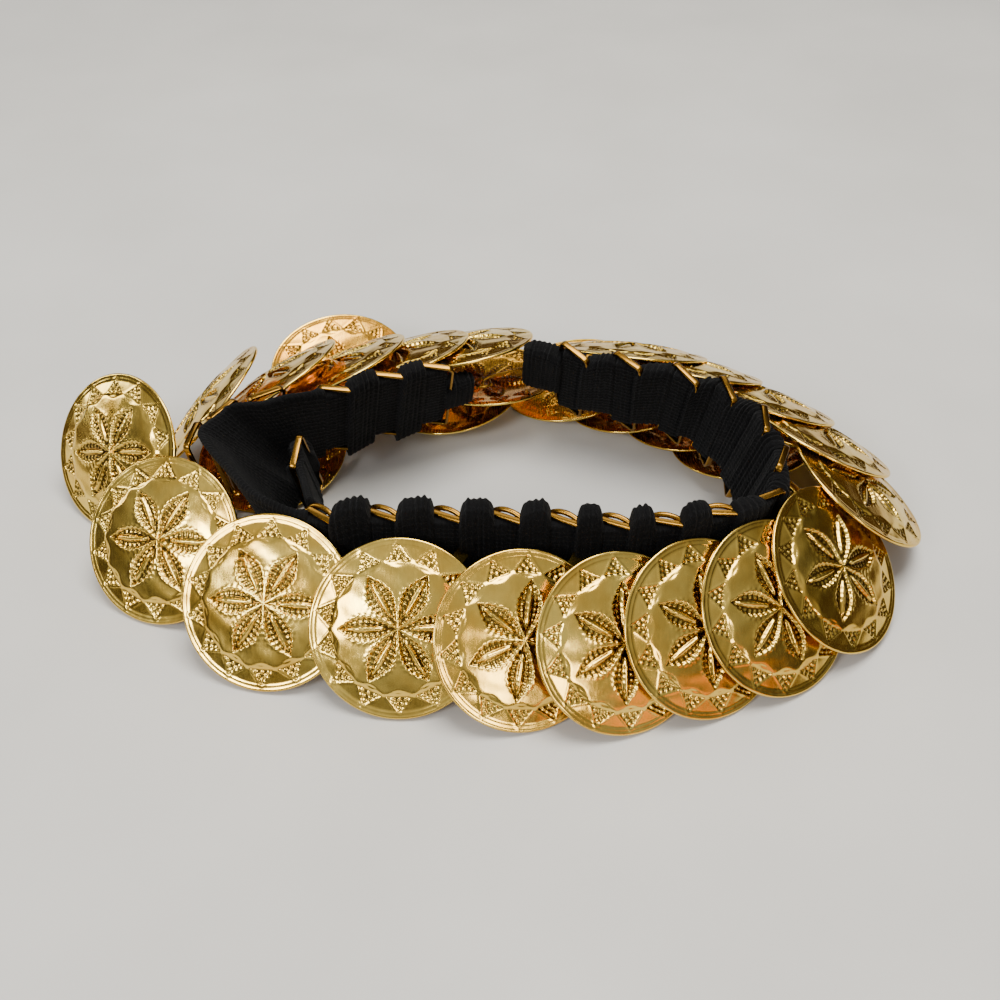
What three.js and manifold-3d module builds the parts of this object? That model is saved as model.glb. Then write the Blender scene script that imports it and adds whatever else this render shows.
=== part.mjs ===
// Metal disc belt: a black knitted stretch band threaded through flat metal frames, with thin
// domed discs that overlap like scales. It stands on a surface in a closed oval loop.
// Millimetres, +Z up, +X to the right, +Y away from the front of the belt.
// The origin is on the surface, under the middle of the whole belt.

import * as THREE from "three";
import { mergeVertices } from "three/addons/utils/BufferGeometryUtils.js";
import Module from "manifold-3d";

const wasm = await Module();
wasm.setup();

// ---------- driving dimensions ----------

const GAP = 0.3;                 // left between pieces that touch
const WELD_DISTANCE = 1e-4;      // corners closer than this are one corner

const DISC_RADIUS = 26;          // a disc is 52 across
const DISC_RISE = 3.0;           // height of the dome over its rim
const DISC_THICKNESS = 0.9;
const DISC_SIDES = 24;
const DISC_RINGS = [0.5, 1];     // radii of the dome's rings, as parts of the disc's radius

const FRAME_LENGTH = 12.4;       // along the band
const FRAME_HEIGHT = 34;
const FRAME_STRIP = 1.0;         // thickness of the strip
const FRAME_WIDTH = 2.0;         // width of the strip, through the band
const FRAME_CORNER = 2.0;        // outer corner radius
const CORNER_STEPS = 2;          // facets of a rounded corner
const FRAME_YAW = 23;            // turn against the band: its leading end is on the inside

const LUG_WIDTH = 4.0;           // strap soldered to a disc's back, which holds its frame
const LUG_THICKNESS = 1.0;
const LUG_REACH = 23;            // it starts within this radius on the disc's back
const LUG_STEP = 2;              // spacing of the points that it may start or end at
const LUG_DIRECTIONS = 36;

const KNIT_WALL = 1.6;           // thickness inside a frame
const PUFF_WALL = 4.6;           // thickness of a gathered puff between frames
const PLAIN_WALL = 3.0;          // thickness of a bare stretch
const END_WALL = 6.4;            // thickness of a folded end
const END_LENGTH = 8;            // length of a folded end, past its frame
const END_BASE = 23.5;           // a folded end lies above the disc that closes the belt
const END_RISES = [6.5, -9];     // tops of the two ends over the middle of a frame's bar
const TAB_RISE = 6.5;            // a puff stands this much over the middle of a frame's bar
const PLAIN_RISE = 0.5;          // and a bare stretch stands this much over it
const RIB_DEPTH = 0.5;           // relief of the gathers on a puff
const RIB_PITCH = 1.8;
const PLAIN_STEP = 5;            // distance between sections on a bare stretch
const SHOULDER = 3.0;            // rounding of the knit's top and bottom edges
const EDGE_WIDTH = 0.55;         // width of those edges, as a part of the wall's thickness

const WIRE_RADIUS = 0.5;         // hook and eye
const WIRE_SIDES = 6;
const HOOK_STEPS = 24;
const EYE_RADIUS = 2.4;          // to the middle of its wire
const EYE_SIDES = 14;

// ---------- tables, clockwise seen from above ----------

// Rows along the band. foot and head are the middles of a frame's lower and upper bar seen
// from above, low is the height of the lower bar, and base is the height of the knit's lower
// edge, which lies on discs at the back. The knit runs through a frame at each framed row.
const BAND_ROWS = [
  { foot: [30.5, 39.5], head: [31.0, 29.0], low: 14.0, base: 10.8, framed: true },
  { foot: [49.0, 31.0], head: [48.0, 23.0], low: 14.0, base: 10.8, framed: true },
  { foot: [64.5, 24.5], head: [66.5, 16.0], low: 14.0, base: 10.8, framed: true },
  { foot: [74.5, 13.5], head: [79.0, 8.0], low: 14.0, base: 10.8, framed: true },
  { foot: [81.0, -2.5], head: [88.5, -6.5], low: 14.0, base: 10.8, framed: true },
  { foot: [84.0, -18.0], head: [92.0, -21.0], low: 10.5, base: 4.0, framed: true },
  { foot: [82.0, -32.5], head: [86.0, -35.0], low: 6.5, base: 0.0, framed: true },
  { foot: [70.0, -41.0], head: [70.5, -43.0], low: 6.5, base: 0.0, framed: true },
  { foot: [54.5, -46.0], head: [54.5, -47.0], low: 6.5, base: 0.0, framed: true },
  { foot: [39.5, -47.0], head: [39.5, -47.5], low: 6.5, base: 0.0, framed: true },
  { foot: [24.5, -46.0], head: [24.5, -46.0], low: 6.5, base: 0.0, framed: true },
  { foot: [8.0, -45.0], head: [8.0, -45.0], low: 6.5, base: 0.0, framed: true },
  { foot: [-9.5, -44.0], head: [-9.5, -44.5], low: 6.5, base: 0.0, framed: true },
  { foot: [-28.0, -43.5], head: [-28.0, -44.0], low: 6.5, base: 0.0, framed: true },
  { foot: [-45.5, -42.0], head: [-46.5, -44.0], low: 6.5, base: 0.0, framed: true },
  { foot: [-60.0, -33.5], head: [-64.0, -37.5], low: 8.0, base: 2.0, framed: false },
  { foot: [-65.5, -18.0], head: [-76.5, -25.0], low: 12.0, base: 5.0, framed: false },
  { foot: [-67.0, -4.0], head: [-87.0, -11.0], low: 18.0, base: 9.0, framed: false },
  { foot: [-65.0, 6.0], head: [-80.5, -0.5], low: 16.0, base: 10.0, framed: false },
  { foot: [-60.0, 13.0], head: [-67.5, 3.0], low: 14.0, base: 10.8, framed: false },
  { foot: [-50.5, 17.5], head: [-46.5, 8.5], low: 14.0, base: 10.8, framed: true },
  { foot: [-34.5, 25.5], head: [-30.0, 16.0], low: 14.0, base: 10.8, framed: true },
  { foot: [-18.5, 31.5], head: [-15.0, 21.0], low: 14.0, base: 10.8, framed: true },
];

// A short inner fold of the same knit at the left corner carries one more frame.
const FOLD_ROWS = [
  { foot: [-47.5, -36.0], head: [-50.0, -38.5], low: 8.0, base: 2.0, framed: false },
  { foot: [-54.0, -7.0], head: [-56.0, -19.5], low: 12.5, base: 6.0, framed: true },
];

// Frames at the left corner that the knit has slipped out of: they hang on its outside.
const LOOSE_FRAMES = [
  { foot: [-84.0, -8.5], head: [-89.5, -10.5], low: 10.0, along: 80 },
  { foot: [-79.0, 4.5], head: [-82.3, 1.6], low: 10.0, along: 50 },
  { foot: [-68.5, 13.5], head: [-69.0, 7.6], low: 12.0, along: 26 },
];

// Discs of the upper row: middle of the rim's circle, slope of the disc from level, and the
// direction that it faces, in degrees from +X. seat is the frame that carries it.
const UPPER_DISCS = [
  { x: 53.5, y: 51.0, z: 29.5, slope: 31, facing: 80, seat: 1 },
  { x: 72.5, y: 44.2, z: 27.6, slope: 31, facing: 70, seat: 2 },
  { x: 96.5, y: 31.0, z: 24.4, slope: 31, facing: 55, seat: 3 },
  { x: 113.0, y: 12.0, z: 23.0, slope: 32, facing: 38, seat: 4 },
  { x: 121.5, y: -10.5, z: 20.8, slope: 34.5, facing: 11, seat: 5 },
  { x: 107.0, y: -46.5, z: 19.8, slope: 41.5, facing: -35, seat: 6 },
  { x: 86.3, y: -61.9, z: 19.4, slope: 45, facing: -52, seat: 7 },
  { x: 64.5, y: -70.0, z: 19.5, slope: 46, facing: -57, seat: 8 },
  { x: 40.5, y: -75.5, z: 19.5, slope: 46, facing: -63, seat: 9 },
  { x: 12.5, y: -74.5, z: 19.5, slope: 46, facing: -70, seat: 11 },
  { x: -23.0, y: -70.0, z: 19.5, slope: 46, facing: -92, seat: 13 },
  { x: -62.0, y: -60.5, z: 20.0, slope: 47, facing: -101, seat: 15 },
  { x: -98.0, y: -34.0, z: 19.5, slope: 46, facing: -112, seat: 20 },
  { x: -121.0, y: 5.0, z: 22.0, slope: 54, facing: -126, seat: 20 },
  { x: -94.0, y: 26.0, z: 25.0, slope: 47, facing: 170, seat: 21 },
  { x: -73.0, y: 36.0, z: 27.5, slope: 37, facing: 150, seat: 22 },
  { x: -51.0, y: 42.0, z: 29.0, slope: 32, facing: 140, seat: 16 },
  { x: -30.0, y: 47.0, z: 30.0, slope: 27, facing: 130, seat: 17 },
  { x: -8.0, y: 51.5, z: 31.0, slope: 25, facing: 115, seat: 18 },
];

// Discs of the lower row lie on the surface with their backs up, so their slope is over 90.
const LOWER_DISCS = [
  { x: 0.2, y: 56.0, z: 15.8, slope: 168, facing: -90, seat: 1 },
  { x: 33.0, y: 67.3, z: 5.1, slope: 169, facing: -10, seat: 2 },
  { x: 55.5, y: 59.5, z: 5.1, slope: 169, facing: -22, seat: 3 },
  { x: 76.5, y: 48.0, z: 5.1, slope: 169, facing: -36, seat: 4 },
  { x: 93.0, y: 31.5, z: 5.1, slope: 169, facing: -50, seat: 5 },
  { x: -74.0, y: 24.0, z: 5.1, slope: 169, facing: 70, seat: 22 },
  { x: -54.0, y: 68.0, z: 10.0, slope: 165, facing: 90, seat: 17 },
  { x: -12.0, y: 59.0, z: 6.5, slope: 172, facing: 0, seat: 18 },
];

// The closure between the band's ends: the middle of the level eye, and the hook's wire, which
// comes over the eye, turns down through it and back under it.
const EYE_AT = [0.1, 32.3, 30.0];
const HOOK_POINTS = [
  [16.5, 39.7, 31.0],
  [9.0, 36.3, 31.8],
  [3.0, 33.6, 31.8],
  [0.6, 32.5, 30.9],
  [0.2, 32.3, 29.4],
  [1.4, 32.9, 28.2],
  [3.2, 33.7, 28.2],
];

// The tables are written from the middle of the band, and the belt's own middle lies here.
const BELT_MIDDLE = { x: -0.3, y: -1.1 };

// ---------- materials ----------

const polishedBrass = { color: 0xd8b25a, metalness: 1.0, roughness: 0.22 };
const blackKnit = { color: 0x0c0c0d, metalness: 0.0, roughness: 0.9 };

const belt = new THREE.Group();
belt.position.set(-BELT_MIDDLE.x, -BELT_MIDDLE.y, 0);

function addPiece(name, geometry, finish) {
  const mesh = new THREE.Mesh(geometry, new THREE.MeshStandardMaterial(finish));
  mesh.name = name;
  belt.add(mesh);
  return mesh;
}

function twoDigits(number) {
  return String(number).padStart(2, "0");
}

// ---------- solids ----------

function toSolid(geometry) {
  const bare = geometry.clone();
  bare.deleteAttribute("normal");
  bare.deleteAttribute("uv");
  const merged = mergeVertices(bare, WELD_DISTANCE);
  return new wasm.Manifold(new wasm.Mesh({
    numProp: 3,
    vertProperties: new Float32Array(merged.attributes.position.array),
    triVerts: new Uint32Array(merged.index.array),
  }));
}

function toGeometry(solid) {
  const mesh = solid.getMesh();
  const geometry = new THREE.BufferGeometry();
  geometry.setAttribute("position", new THREE.BufferAttribute(mesh.vertProperties, 3));
  geometry.setIndex(new THREE.BufferAttribute(mesh.triVerts, 1));
  return geometry;
}

const radians = THREE.MathUtils.degToRad;
const BAR_SPAN = FRAME_HEIGHT - FRAME_STRIP;      // from the middle of one bar to the other's

// ---------- places along the band ----------

// Middles of the lower and the upper bar, which lie BAR_SPAN apart.
function barEnds(row) {
  const dx = row.head[0] - row.foot[0];
  const dy = row.head[1] - row.foot[1];
  const rise = Math.sqrt(BAR_SPAN ** 2 - dx ** 2 - dy ** 2);
  const foot = new THREE.Vector3(row.foot[0], row.foot[1], row.low);
  return { foot, head: foot.clone().add(new THREE.Vector3(dx, dy, rise)) };
}

// Each row becomes a place: its middle, the way along the band, the way up it and the way out.
function placesAlong(rows) {
  const ends = rows.map(barEnds);
  const middles = ends.map(({ foot, head }) => foot.clone().lerp(head, 0.5));
  return rows.map((row, i) => {
    const before = middles[Math.max(i - 1, 0)];
    const after = middles[Math.min(i + 1, rows.length - 1)];
    const up = ends[i].head.clone().sub(ends[i].foot).normalize();
    const along = after.clone().sub(before);
    along.addScaledVector(up, -along.dot(up)).normalize();
    const out = up.clone().cross(along);
    return { middle: middles[i], along, up, out, base: row.base, framed: row.framed };
  });
}

// ---------- frames ----------

function roundedRectangle(outline, width, height, radius) {
  const x = width / 2 - radius;
  const y = height / 2 - radius;
  outline.moveTo(-x, -y - radius);
  outline.absarc(x, -y, radius, -Math.PI / 2, 0, false);
  outline.absarc(x, y, radius, 0, Math.PI / 2, false);
  outline.absarc(-x, y, radius, Math.PI / 2, Math.PI, false);
  outline.absarc(-x, -y, radius, Math.PI, 1.5 * Math.PI, false);
  return outline;
}

function frameGeometry() {
  const shape = roundedRectangle(new THREE.Shape(), FRAME_LENGTH, FRAME_HEIGHT, FRAME_CORNER);
  shape.holes.push(roundedRectangle(new THREE.Path(), FRAME_LENGTH - 2 * FRAME_STRIP,
    FRAME_HEIGHT - 2 * FRAME_STRIP, FRAME_CORNER - FRAME_STRIP));
  const geometry = new THREE.ExtrudeGeometry(shape,
    { depth: FRAME_WIDTH, bevelEnabled: false, curveSegments: CORNER_STEPS });
  return geometry.translate(0, 0, -FRAME_WIDTH / 2);
}

// A frame's own X runs along the band, Y up it and Z inwards. It is turned about its height,
// so that its trailing upright is outside the knit and its leading one inside.
function frameMatrix(place) {
  const inwards = place.out.clone().negate();
  return new THREE.Matrix4().makeBasis(place.along, place.up, inwards)
    .multiply(new THREE.Matrix4().makeRotationY(radians(-FRAME_YAW)))
    .setPosition(place.middle);
}

function looseFrameMatrix(row) {
  const { foot, head } = barEnds(row);
  const up = head.clone().sub(foot).normalize();
  const along = new THREE.Vector3(Math.cos(radians(row.along)), Math.sin(radians(row.along)), 0);
  along.addScaledVector(up, -along.dot(up)).normalize();
  return new THREE.Matrix4().makeBasis(along, up, along.clone().cross(up))
    .setPosition(foot.lerp(head, 0.5));
}

// ---------- knit ----------

// Distances along the band from a frame's middle: past the frame, and between its uprights.
const turn = radians(FRAME_YAW);
const STRIP_SHADOW = (FRAME_WIDTH / 2) * Math.sin(turn);
const PAST_FRAME = (FRAME_LENGTH / 2) * Math.cos(turn) + STRIP_SHADOW + GAP;
const IN_WINDOW = (FRAME_LENGTH / 2 - FRAME_STRIP) * Math.cos(turn) - STRIP_SHADOW - GAP;
const WINDOW_HALF = FRAME_HEIGHT / 2 - FRAME_STRIP - GAP;
const STEP_LENGTH = 0.25;        // over which the knit steps from one thickness to another

// A section has its thickness outwards and inwards of the band's middle surface, its top over
// the middle, and whether it reaches down to the knit's lower edge.
function windowSections(place) {
  const thin = KNIT_WALL / 2;
  const thick = PUFF_WALL / 2 - RIB_DEPTH;
  const at = (distance, outer, inner) => ({
    ...place,
    middle: place.middle.clone().addScaledVector(place.along, distance),
    outer,
    inner,
    top: WINDOW_HALF,
    grounded: false,
  });
  return [
    at(-PAST_FRAME, thin, thick),
    at(-IN_WINDOW - STEP_LENGTH, thin, thick),
    at(-IN_WINDOW, thin, thin),
    at(IN_WINDOW, thin, thin),
    at(IN_WINDOW + STEP_LENGTH, thick, thin),
    at(PAST_FRAME, thick, thin),
  ];
}

// A smooth way from one place to another, which leaves and arrives along the band.
function between(from, to, part) {
  const reach = from.middle.distanceTo(to.middle);
  const curve = new THREE.CubicBezierCurve3(
    from.middle,
    from.middle.clone().addScaledVector(from.along, reach / 3),
    to.middle.clone().addScaledVector(to.along, -reach / 3),
    to.middle,
  );
  const up = from.up.clone().lerp(to.up, part).normalize();
  const along = from.along.clone().lerp(to.along, part);
  along.addScaledVector(up, -along.dot(up)).normalize();
  const base = THREE.MathUtils.lerp(from.base, to.base, part);
  return { middle: curve.getPoint(part), along, up, out: up.clone().cross(along), base };
}

function stretchSections(from, to, wall, rise, ribbed) {
  const reach = from.middle.distanceTo(to.middle);
  const steps = ribbed
    ? 2 * Math.max(2, Math.round(reach / RIB_PITCH))
    : Math.max(2, Math.round(reach / PLAIN_STEP));
  const sections = [];
  for (let k = 0; k <= steps; k += 1) {
    const valley = ribbed && k % 2 === 0 ? RIB_DEPTH : 0;
    const half = wall / 2 - valley;
    sections.push({
      ...between(from, to, k / steps),
      outer: half,
      inner: half,
      top: BAR_SPAN / 2 + rise - valley,
      grounded: true,
    });
  }
  return sections;
}

function shifted(place, distance) {
  return { ...place, middle: place.middle.clone().addScaledVector(place.along, distance) };
}

// All sections of a strip of knit. It has windows at its framed rows, ribbed puffs between two
// of them, and bare stretches elsewhere.
function knitSections(places, endLengths) {
  const clear = PAST_FRAME + STEP_LENGTH;
  const entry = (place) => (place.framed ? shifted(place, -clear) : place);
  const exit = (place) => (place.framed ? shifted(place, clear) : place);
  const first = { ...entry(places[0]), base: END_BASE };
  const last = { ...exit(places[places.length - 1]), base: END_BASE };
  const sections = [];
  if (endLengths[0] > 0) {
    const tip = shifted(first, -endLengths[0]);
    sections.push(...stretchSections(tip, first, END_WALL, END_RISES[0], true));
  }
  places.forEach((place, i) => {
    if (place.framed) sections.push(...windowSections(place));
    if (i + 1 === places.length) return;
    const next = places[i + 1];
    const gathered = place.framed && next.framed;
    const part = gathered
      ? stretchSections(exit(place), entry(next), PUFF_WALL, TAB_RISE, true)
      : stretchSections(exit(place), entry(next), PLAIN_WALL, PLAIN_RISE, false);
    const repeats = sections.length > 0 && !place.framed;
    sections.push(...(repeats ? part.slice(1) : part));
  });
  if (endLengths[1] > 0) {
    const tip = shifted(last, endLengths[1]);
    sections.push(...stretchSections(last, tip, END_WALL, END_RISES[1], true));
  }
  return sections;
}

function knitRing(section) {
  const { middle, out, up, outer, inner, top } = section;
  const bottom = section.grounded ? (middle.z - section.base) / up.z : WINDOW_HALF;
  const corners = [
    [outer * EDGE_WIDTH, -bottom],
    [outer, SHOULDER - bottom],
    [outer, top - SHOULDER],
    [outer * EDGE_WIDTH, top],
    [-inner * EDGE_WIDTH, top],
    [-inner, top - SHOULDER],
    [-inner, SHOULDER - bottom],
    [-inner * EDGE_WIDTH, -bottom],
  ];
  const ring = corners.map(([sideways, height]) => middle.clone()
    .addScaledVector(out, sideways)
    .addScaledVector(up, height));
  if (section.grounded) {
    ring[0].z = section.base;
    ring[ring.length - 1].z = section.base;
  }
  return ring;
}

function loftGeometry(rings) {
  const sides = rings[0].length;
  const index = [];
  for (let i = 0; i + 1 < rings.length; i += 1) {
    for (let k = 0; k < sides; k += 1) {
      const a = i * sides + k;
      const b = i * sides + ((k + 1) % sides);
      index.push(a, b, b + sides, a, b + sides, a + sides);
    }
  }
  const end = (rings.length - 1) * sides;
  for (let k = 1; k + 1 < sides; k += 1) {
    index.push(0, k + 1, k, end, end + k, end + k + 1);
  }
  const geometry = new THREE.BufferGeometry().setFromPoints(rings.flat());
  geometry.setIndex(index);
  return geometry;
}

// ---------- discs ----------

function domeHeight(radius) {
  return DISC_RISE * (1 - (radius / DISC_RADIUS) ** 2);
}

// A disc's own +Z is the way that it faces, and its rim's circle is at height 0.
function discGeometry() {
  const radii = DISC_RINGS.map((part) => part * DISC_RADIUS);
  const profile = [new THREE.Vector2(0, DISC_RISE - DISC_THICKNESS)];
  for (const radius of radii) {
    profile.push(new THREE.Vector2(radius, domeHeight(radius) - DISC_THICKNESS));
  }
  for (const radius of [...radii].reverse()) {
    profile.push(new THREE.Vector2(radius, domeHeight(radius)));
  }
  profile.push(new THREE.Vector2(0, DISC_RISE));
  return new THREE.LatheGeometry(profile, DISC_SIDES).rotateX(Math.PI / 2);
}

function discMatrix(row) {
  const facing = new THREE.Matrix4().makeRotationZ(radians(row.facing));
  const slope = new THREE.Matrix4().makeRotationY(radians(row.slope));
  return facing.multiply(slope).setPosition(row.x, row.y, row.z);
}

// Points on a disc's back where a lug can start.
function backPoints(place) {
  const points = [];
  for (let radius = 1; radius <= LUG_REACH; radius += LUG_STEP) {
    for (let k = 0; k < LUG_DIRECTIONS; k += 1) {
      const angle = (2 * Math.PI * k) / LUG_DIRECTIONS;
      const height = domeHeight(radius) - DISC_THICKNESS;
      points.push(new THREE.Vector3(radius * Math.cos(angle), radius * Math.sin(angle), height)
        .applyMatrix4(place));
    }
  }
  return points;
}

// Points on the outer face of a frame's trailing upright where a lug can end.
function seatPoints(frame) {
  const points = [];
  const reach = FRAME_HEIGHT / 2 - FRAME_CORNER;
  for (let height = -reach; height <= reach; height += LUG_STEP) {
    points.push(new THREE.Vector3((FRAME_STRIP - FRAME_LENGTH) / 2, height, -FRAME_WIDTH / 2)
      .applyMatrix4(frame));
  }
  return points;
}

// The space that a frame takes up, with a gap all round.
function frameEnvelope(matrix) {
  const box = new THREE.BoxGeometry(FRAME_LENGTH + 2 * GAP, FRAME_HEIGHT + 2 * GAP,
    FRAME_WIDTH + 2 * GAP);
  return toSolid(box.applyMatrix4(matrix));
}

// The lug is the shortest straight strap from the disc's back to the seat. It starts inside
// the disc's own thickness and is trimmed a gap short of the frames.
function lugSolid(discPlace, framePlace, facing, envelopes) {
  let best = { length: Infinity };
  for (const root of backPoints(discPlace)) {
    for (const seat of seatPoints(framePlace)) {
      const length = root.distanceTo(seat);
      if (length < best.length) best = { length, root, seat };
    }
  }
  const way = best.seat.clone().sub(best.root).normalize();
  const start = best.root.clone().addScaledVector(way, -DISC_THICKNESS / 2);
  const length = best.length + DISC_THICKNESS / 2;
  const across = way.clone().cross(facing).normalize();
  const thin = across.clone().cross(way);
  const lug = new THREE.BoxGeometry(LUG_WIDTH, length, LUG_THICKNESS);
  lug.applyMatrix4(new THREE.Matrix4().makeBasis(across, way, thin)
    .setPosition(start.addScaledVector(way, length / 2)));
  return envelopes.reduce((solid, envelope) => solid.subtract(envelope), toSolid(lug));
}

function discPiece(row, frames, envelopes) {
  const place = discMatrix(row);
  const facing = new THREE.Vector3().setFromMatrixColumn(place, 2);
  const disc = toSolid(discGeometry().applyMatrix4(place));
  return toGeometry(disc.add(lugSolid(place, frames[row.seat - 1], facing, envelopes)));
}

// ---------- hook and eye ----------

function hookGeometry() {
  const section = new THREE.Shape(Array.from({ length: WIRE_SIDES }, (_, k) => {
    const angle = (2 * Math.PI * k) / WIRE_SIDES;
    return new THREE.Vector2(WIRE_RADIUS * Math.cos(angle), WIRE_RADIUS * Math.sin(angle));
  }));
  const path = new THREE.CatmullRomCurve3(HOOK_POINTS.map((point) => new THREE.Vector3(...point)));
  return new THREE.ExtrudeGeometry(section, { steps: HOOK_STEPS, extrudePath: path });
}

// ---------- the belt ----------

const bandPlaces = placesAlong(BAND_ROWS);
const foldPlaces = placesAlong(FOLD_ROWS);
const framePlaces = [...bandPlaces, ...foldPlaces].filter((place) => place.framed);
const frameMatrices = [...framePlaces.map(frameMatrix), ...LOOSE_FRAMES.map(looseFrameMatrix)];

const envelopes = frameMatrices.map(frameEnvelope);

addPiece("knit_band", loftGeometry(
  knitSections(bandPlaces, [END_LENGTH, END_LENGTH]).map(knitRing)), blackKnit);
addPiece("knit_fold", loftGeometry(
  knitSections(foldPlaces, [0, END_LENGTH / 2]).map(knitRing)), blackKnit);

frameMatrices.forEach((matrix, i) => {
  addPiece(`frame_${twoDigits(i + 1)}`, frameGeometry(), polishedBrass).applyMatrix4(matrix);
});

UPPER_DISCS.forEach((row, i) => {
  addPiece(`disc_${twoDigits(i + 1)}`, discPiece(row, frameMatrices, envelopes), polishedBrass);
});

LOWER_DISCS.forEach((row, i) => {
  addPiece(`lower_disc_${twoDigits(i + 1)}`, discPiece(row, frameMatrices, envelopes), polishedBrass);
});

addPiece("hook", hookGeometry(), polishedBrass);
addPiece("eye", new THREE.TorusGeometry(EYE_RADIUS, WIRE_RADIUS, WIRE_SIDES, EYE_SIDES),
  polishedBrass).position.set(...EYE_AT);

export default belt;
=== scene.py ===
"""Looks of the metal disc belt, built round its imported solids: gold-plated stamped discs, bent
flat-strip frames and a gathered black knit band, closed by a small wire hook and eye.
Sizes are millimetres until a mesh is made, +Z up, +X right, +Y away from the belt's front."""

import math
import random

import bpy
import numpy as np
from mathutils import Matrix, Vector


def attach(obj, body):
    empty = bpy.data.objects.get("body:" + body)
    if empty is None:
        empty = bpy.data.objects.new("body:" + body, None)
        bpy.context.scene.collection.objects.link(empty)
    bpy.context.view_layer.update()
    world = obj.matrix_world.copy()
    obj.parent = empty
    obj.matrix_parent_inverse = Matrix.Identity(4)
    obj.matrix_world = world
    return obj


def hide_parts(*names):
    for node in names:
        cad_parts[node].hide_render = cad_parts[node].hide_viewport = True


MM = 0.001
PER_METRE = 1000.0                           # over a patch's size in mm: a noise's scale
BODY = "root"

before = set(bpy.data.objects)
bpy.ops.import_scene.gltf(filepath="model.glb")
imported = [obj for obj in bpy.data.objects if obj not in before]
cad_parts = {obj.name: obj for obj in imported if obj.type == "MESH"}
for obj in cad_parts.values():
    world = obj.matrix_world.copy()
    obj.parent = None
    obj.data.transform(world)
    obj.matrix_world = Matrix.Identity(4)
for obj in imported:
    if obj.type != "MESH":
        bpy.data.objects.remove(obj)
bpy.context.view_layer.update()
scene = bpy.context.scene

# ---------- sizes ----------

# Places and main sizes are those of the solids. The thickness of the metal and the knit, the
# tops of the gathers, the folded ends and the lower edge at the back right differ a little.

BELT_SHIFT = np.array([0.3, 1.1, 0.0])       # from the tables' origin to the belt's own

DISC_RADIUS = 26.0
DISC_RISE = 3.0
SHEET = 0.7                                  # thickness of a disc's metal

FRAME_LENGTH, FRAME_HEIGHT = 12.4, 34.0
FRAME_STRIP, FRAME_WIDTH = 1.0, 2.0
FRAME_CORNER = 2.0
FRAME_YAW = math.radians(23)
BAR_SPAN = FRAME_HEIGHT - FRAME_STRIP
FRAME_SOFTENING, STRAP_SOFTENING = 0.32, 0.3  # radii of the edges of their metal

STRAP_WIDTH, STRAP_THICKNESS = 4.0, 0.9      # soldered to a disc's back, holds its frame
STRAP_LIMITS = ((5.0, 17.0), (15.0, 23.0))   # on the frame and on an upper or a lower disc

GAP = 0.3
PLAIN_WALL, END_WALL = 3.0, 7.4
END_LENGTHS, END_BASE, END_RISES = (11.5, 8.0), 23.5, (-2.5, -9.0)
PLAIN_RISE = 0.5
# How far each puff between two frames stands over their bars, clockwise: the back right ones
# are pressed down, and the front ones stand up as tabs.
TAB_RISES = [0.0] * 6 + [3.0] + [6.5] * 7 + [3.0] * 2

# Rows along the band, clockwise: middle of the lower bar, middle of the upper bar, height of
# the lower bar, height of the knit's lower edge, and whether a frame sits there.
BAND_ROWS = [
    (30.5, 39.5, 31.0, 29.0, 14.0, 18.0, True), (49.0, 31.0, 48.0, 23.0, 14.0, 18.0, True),
    (64.5, 24.5, 66.5, 16.0, 14.0, 18.0, True), (74.5, 13.5, 79.0, 8.0, 14.0, 18.0, True),
    (81.0, -2.5, 88.5, -6.5, 14.0, 18.0, True), (84.0, -18.0, 92.0, -21.0, 10.5, 10.0, True),
    (82.0, -32.5, 86.0, -35.0, 6.5, 0.0, True), (70.0, -41.0, 70.5, -43.0, 6.5, 0.0, True),
    (54.5, -46.0, 54.5, -47.0, 6.5, 0.0, True), (39.5, -47.0, 39.5, -47.5, 6.5, 0.0, True),
    (24.5, -46.0, 24.5, -46.0, 6.5, 0.0, True), (8.0, -45.0, 8.0, -45.0, 6.5, 0.0, True),
    (-9.5, -44.0, -9.5, -44.5, 6.5, 0.0, True), (-28.0, -43.5, -28.0, -44.0, 6.5, 0.0, True),
    (-45.5, -42.0, -46.5, -44.0, 6.5, 0.0, True), (-60.0, -33.5, -64.0, -37.5, 8.0, 2.0, False),
    (-65.5, -18.0, -76.5, -25.0, 12.0, 5.0, False), (-67.0, -4.0, -87.0, -11.0, 18.0, 9.0, False),
    (-65.0, 6.0, -80.5, -0.5, 16.0, 10.0, False), (-60.0, 13.0, -67.5, 3.0, 14.0, 10.8, False),
    (-50.5, 17.5, -46.5, 8.5, 14.0, 10.8, True), (-34.5, 25.5, -30.0, 16.0, 14.0, 10.8, True),
    (-18.5, 31.5, -15.0, 21.0, 14.0, 10.8, True),
]
FOLD_ROWS = [
    (-47.5, -36.0, -50.0, -38.5, 8.0, 2.0, False),
    (-54.0, -7.0, -56.0, -19.5, 12.5, 6.0, True),
]
# Frames that hang outside the knit at the left corner: the same, and the way along, in degrees.
LOOSE_FRAMES = [
    (-84.0, -8.5, -89.5, -10.5, 10.0, 80), (-79.0, 4.5, -82.3, 1.6, 10.0, 50),
    (-68.5, 13.5, -69.0, 7.6, 12.0, 26),
]
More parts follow.
